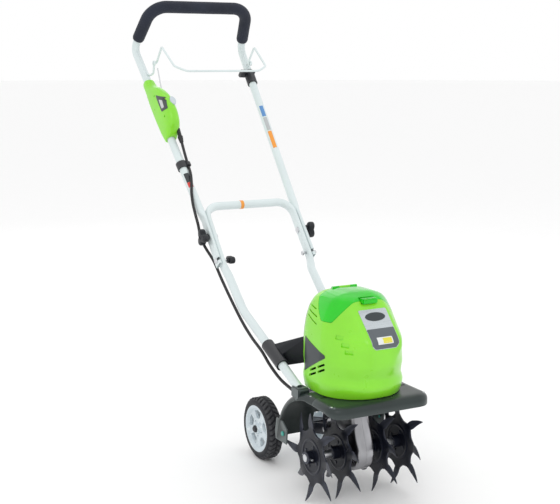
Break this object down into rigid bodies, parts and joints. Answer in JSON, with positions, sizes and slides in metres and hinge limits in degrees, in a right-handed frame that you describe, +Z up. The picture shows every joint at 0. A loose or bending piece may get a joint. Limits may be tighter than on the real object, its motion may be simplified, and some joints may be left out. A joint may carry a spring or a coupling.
{
  "type": "mini cultivator",
  "caption": "Battery garden cultivator with a folding loop handle, squeeze bail, dome body, fender, spiked tilling discs and rear wheels on an adjustable bracket.",
  "frame": {"origin": "on the ground, below the centre of the whole machine's bounding box", "axes": "+Z up; -Y the way the machine faces, with the tines in front and the wheels and handle behind; +X to the right of a viewer who stands in front and faces the machine, and left and right in the node names are that viewer's"},
  "size_m": [0.3312, 0.9735, 1.0623],
  "materials": {
    "white_steel": "satin powder coat",
    "grip_foam": "matt closed-cell foam",
    "green_plastic": "semi-gloss",
    "lid_plastic": "gloss, slightly clear green",
    "pale_plastic": "satin",
    "rim_plastic": "satin",
    "black_plastic": "satin, lightly textured",
    "fender_plastic": "satin",
    "bare_steel": "zinc-plated",
    "cable_rubber": "satin",
    "seal_rubber": "matt",
    "circuit_board": "solder mask",
    "rotor_metal": "steel laminations with copper windings",
    "cast_aluminium": "as cast",
    "bronze": "machined bronze",
    "tine_steel": "dark powder coat",
    "bolt_teal": "coloured cap",
    "tyre": "matt"
  },
  "bodies": {
    "chassis": {"lower_handle": "white_steel", "stop_bolt_left": "bare_steel", "stop_bolt_right": "bare_steel", "stop_nut_right": "bare_steel", "handle_brace": "black_plastic", "front_cover": "green_plastic", "rear_cover": "black_plastic", "lid_hinge_pin": "bare_steel", "battery_tray": "black_plastic", "control_board": "circuit_board", "motor_can": "bare_steel", "gearbox_left": "cast_aluminium", "gearbox_right": "cast_aluminium", "shaft_seal_left": "seal_rubber", "shaft_seal_right": "seal_rubber", "fender": "fender_plastic", "fender_bolt_left": "bolt_teal", "fender_bolt_right": "bolt_teal", "bracket_pivot_bolt": "bare_steel", "power_cable": "cable_rubber"},
    "upper_handle": {"upper_handle": "white_steel", "fold_bolt_left": "bare_steel", "fold_bolt_right": "bare_steel", "foam_grip": "grip_foam", "switch_box_outer": "green_plastic", "switch_box_inner": "green_plastic", "micro_switch": "black_plastic", "cable_gland": "cable_rubber", "cable_clip": "black_plastic", "bail_rest": "black_plastic"},
    "handle_knob_left": {"handle_knob_left": "black_plastic"},
    "handle_knob_right": {"handle_knob_right": "black_plastic"},
    "stop_knob_left": {"stop_knob_left": "black_plastic"},
    "bail": {"bail": "white_steel"},
    "pull_rod": {"pull_rod": "bare_steel"},
    "lock_off_button": {"lock_off_button": "pale_plastic"},
    "battery_lid": {"battery_lid": "lid_plastic"},
    "lid_latch": {"lid_latch": "lid_plastic"},
    "battery_pack": {"battery_pack": "black_plastic"},
    "battery_release": {"battery_release": "pale_plastic"},
    "tines": {"tine_shaft": "bare_steel", "worm_wheel": "bronze", "tine_inner_left": "tine_steel", "tine_inner_right": "tine_steel", "tine_outer_left": "tine_steel", "tine_outer_right": "tine_steel", "hitch_pin_left": "bare_steel", "hitch_pin_right": "bare_steel"},
    "motor_rotor": {"motor_rotor": "rotor_metal", "cooling_fan": "pale_plastic"},
    "wheel_bracket": {"wheel_bracket": "tine_steel", "wheel_axle": "bare_steel", "hub_cap_left": "black_plastic", "hub_cap_right": "black_plastic"},
    "wheel_left": {"tyre_left": "tyre", "rim_left": "rim_plastic"},
    "wheel_right": {"tyre_right": "tyre", "rim_right": "rim_plastic"}
  },
  "joints": [
    {"name": "handle_fold", "type": "hinge", "parent": "chassis", "child": "upper_handle", "pos_m": [0, 0.0803, 0.4985], "axis": [1, 0, 0], "range_deg": [0, 115], "deforming": ["power_cable"]},
    {"name": "left_knob_spin", "type": "hinge", "parent": "upper_handle", "child": "handle_knob_left", "pos_m": [-0.14, 0.0803, 0.4985], "axis": [-1, 0, 0], "continuous": true},
    {"name": "right_knob_spin", "type": "hinge", "parent": "upper_handle", "child": "handle_knob_right", "pos_m": [0.14, 0.0803, 0.4985], "axis": [1, 0, 0], "continuous": true},
    {"name": "stop_knob_spin", "type": "hinge", "parent": "chassis", "child": "stop_knob_left", "pos_m": [-0.095, 0.03783, 0.44798], "axis": [1, 0, 0], "continuous": true},
    {"name": "bail_pull", "type": "hinge", "parent": "upper_handle", "child": "bail", "pos_m": [0, 0.3908, 0.905], "axis": [-1, 0, 0], "range_deg": [0, 97], "stiffness_Nm_per_rad": 0.35, "springref_deg": -20.05},
    {"name": "rod_pull", "type": "slide", "parent": "upper_handle", "child": "pull_rod", "axis": [0, 0.4207, 0.9072], "range_m": [0, 0.0062]},
    {"name": "button_press", "type": "slide", "parent": "upper_handle", "child": "lock_off_button", "axis": [0, 0.7383, -0.6745], "range_m": [0, 0.0035], "stiffness_N_per_m": 600, "springref_m": -0.0015},
    {"name": "lid_open", "type": "hinge", "parent": "chassis", "child": "battery_lid", "pos_m": [0, -0.3242, 0.4398], "axis": [-1, 0, 0], "range_deg": [0, 95]},
    {"name": "latch_press", "type": "slide", "parent": "battery_lid", "child": "lid_latch", "axis": [0, 1, 0], "range_m": [0, 0.0025], "stiffness_N_per_m": 500, "springref_m": -0.001},
    {"name": "battery_lift", "type": "slide", "parent": "chassis", "child": "battery_pack", "axis": [0, 0, 1], "range_m": [0, 0.01]},
    {"name": "release_press", "type": "slide", "parent": "battery_pack", "child": "battery_release", "axis": [0, 0, -1], "range_m": [0, 0.0025], "stiffness_N_per_m": 500, "springref_m": -0.001},
    {"name": "tine_spin", "type": "hinge", "parent": "chassis", "child": "tines", "pos_m": [0, -0.3772, 0.099], "axis": [1, 0, 0], "continuous": true},
    {"name": "motor_spin", "type": "hinge", "parent": "chassis", "child": "motor_rotor", "pos_m": [0, -0.3512, 0.099], "axis": [0, 0, 1], "continuous": true},
    {"name": "wheel_height", "type": "hinge", "parent": "chassis", "child": "wheel_bracket", "pos_m": [0, -0.2992, 0.123], "axis": [1, 0, 0], "range_deg": [-12, 20]},
    {"name": "left_wheel_spin", "type": "hinge", "parent": "wheel_bracket", "child": "wheel_left", "pos_m": [-0.076, -0.0941, 0.07234], "axis": [1, 0, 0], "continuous": true},
    {"name": "right_wheel_spin", "type": "hinge", "parent": "wheel_bracket", "child": "wheel_right", "pos_m": [0.076, -0.0941, 0.07234], "axis": [1, 0, 0], "continuous": true}
  ],
  "couplings": [
    {"joint": "motor_spin", "follows": "tine_spin", "ratio": 30},
    {"joint": "rod_pull", "follows": "bail_pull", "m_per_rad": 0.003544}
  ]
}
